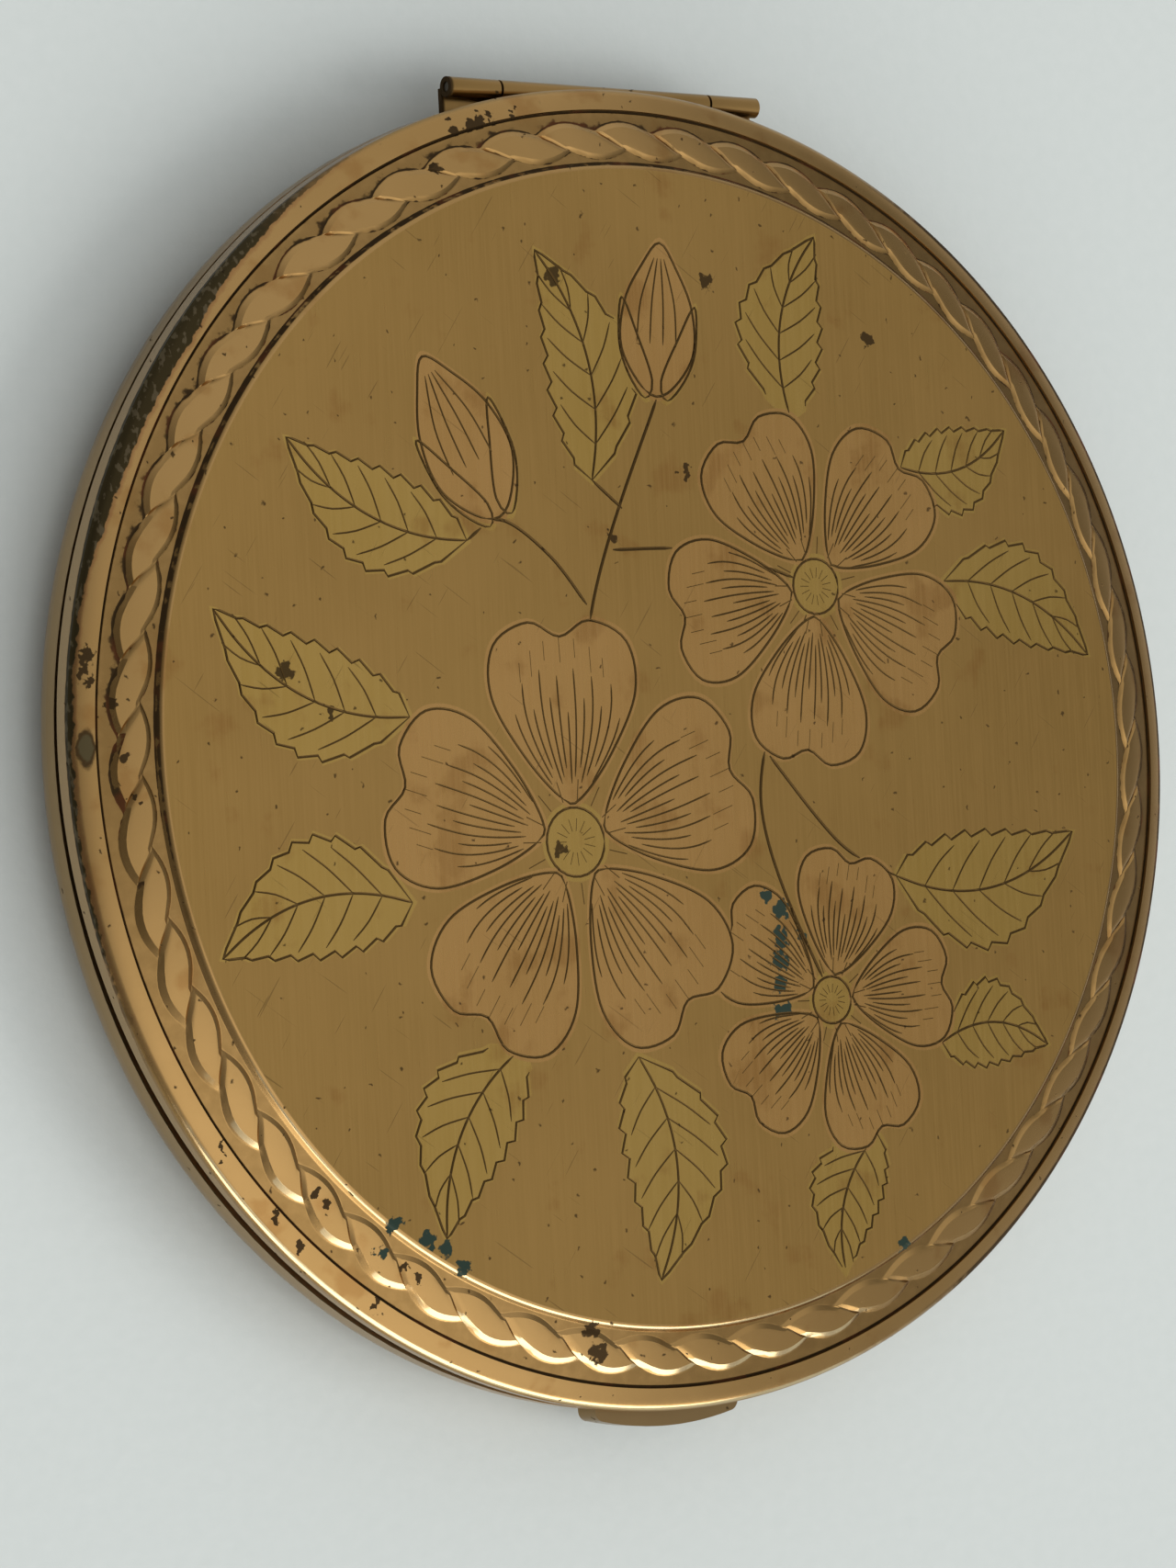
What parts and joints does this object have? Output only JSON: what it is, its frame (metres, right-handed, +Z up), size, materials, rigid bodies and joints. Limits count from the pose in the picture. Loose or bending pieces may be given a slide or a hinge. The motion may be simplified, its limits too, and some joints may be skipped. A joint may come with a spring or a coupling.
{
  "type": "compact mirror",
  "caption": "Round slim brass powder compact with a hinged lid, a mirror inside it, a rope-twist border on top, a sprung press catch, and a sifter and puff in its base.",
  "frame": {"origin": "centre of the flat face that the compact rests on", "axes": "+Z up through the closed lid, +Y to the hinge, -Y to the catch, +X to the right seen from the catch"},
  "size_m": [0.096, 0.0977, 0.0093],
  "materials": {
    "gilt_brass": "brushed and gilded brass sheet, worn at the rim, dark in its grooves",
    "gauze_brass": "fine brass gauze",
    "pin_steel": "drawn wire",
    "spring_steel": "blued spring strip",
    "mirror_silver": "silvered glass with a bevelled edge",
    "backing_card": "plain grey-brown card",
    "puff_velour": "short-pile velour",
    "ribbon_satin": "satin ribbon"
  },
  "bodies": {
    "base": {"base_shell": "gilt_brass", "base_collar": "gilt_brass", "base_hinge_leaf": "gilt_brass", "hinge_pin": "pin_steel", "sifter_ring": "gilt_brass", "sifter_net": "gauze_brass", "powder_puff": "puff_velour", "puff_ribbon": "ribbon_satin", "catch_spring": "spring_steel", "catch_straps": "gilt_brass"},
    "lid": {"lid_shell": "gilt_brass", "lid_hinge_leaf": "gilt_brass", "catch_keeper": "gilt_brass", "mirror_backing": "backing_card", "mirror_glass": "mirror_silver", "mirror_bezel": "gilt_brass"},
    "catch": {"catch_tab": "gilt_brass", "catch_tongue": "gilt_brass"}
  },
  "joints": [
    {"name": "lid_hinge", "type": "hinge", "parent": "base", "child": "lid", "pos_m": [0, 0.0478, 0.00513], "axis": [-1, 0, 0], "range_deg": [0, 100]},
    {"name": "catch_press", "type": "slide", "parent": "base", "child": "catch", "axis": [0, 1, 0], "range_m": [0, 0.0008], "stiffness_N_per_m": 2500, "deforming": ["catch_spring"]}
  ]
}
